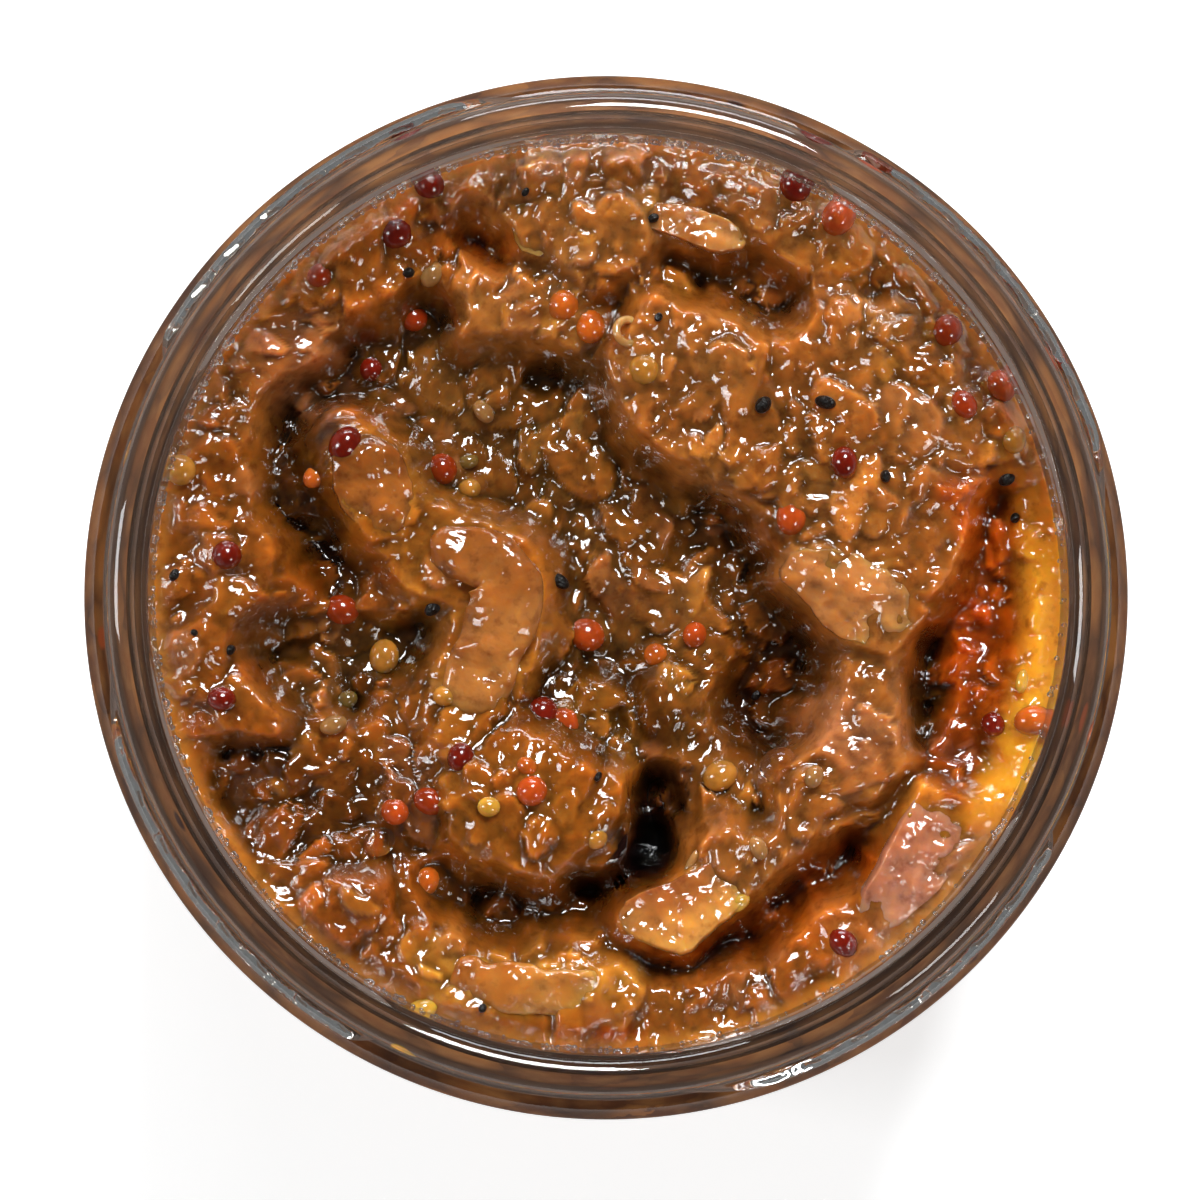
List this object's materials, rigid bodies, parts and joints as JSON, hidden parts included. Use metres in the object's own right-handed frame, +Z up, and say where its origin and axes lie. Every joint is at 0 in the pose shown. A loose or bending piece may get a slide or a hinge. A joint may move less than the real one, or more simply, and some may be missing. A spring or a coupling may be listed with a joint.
{
  "type": "jar of onion confit",
  "caption": "Open clear glass twist-off jar filled with onion confit, with lugs for a lid round the mouth and no lid.",
  "frame": {"origin": "centre of the jar's base, on the plane that it stands on", "axes": "+Z up the jar's axis towards the mouth; +X and +Y lie across the mouth, +Y away from the viewer"},
  "size_m": [0.068, 0.068, 0.078],
  "materials": {
    "glass": "clear, smooth",
    "confit": "wet, syrupy",
    "onion": "wet, translucent"
  },
  "bodies": {
    "root": {"jar": "glass", "confit": "confit", "onion_strip_gold": "onion", "onion_petal_wall": "onion", "onion_strip_hook": "onion", "onion_chunk_amber": "onion", "onion_chunk_right": "onion", "onion_wedge_olive": "onion", "onion_strip_folded": "onion", "onion_plate_top": "onion"}
  },
  "joints": []
}
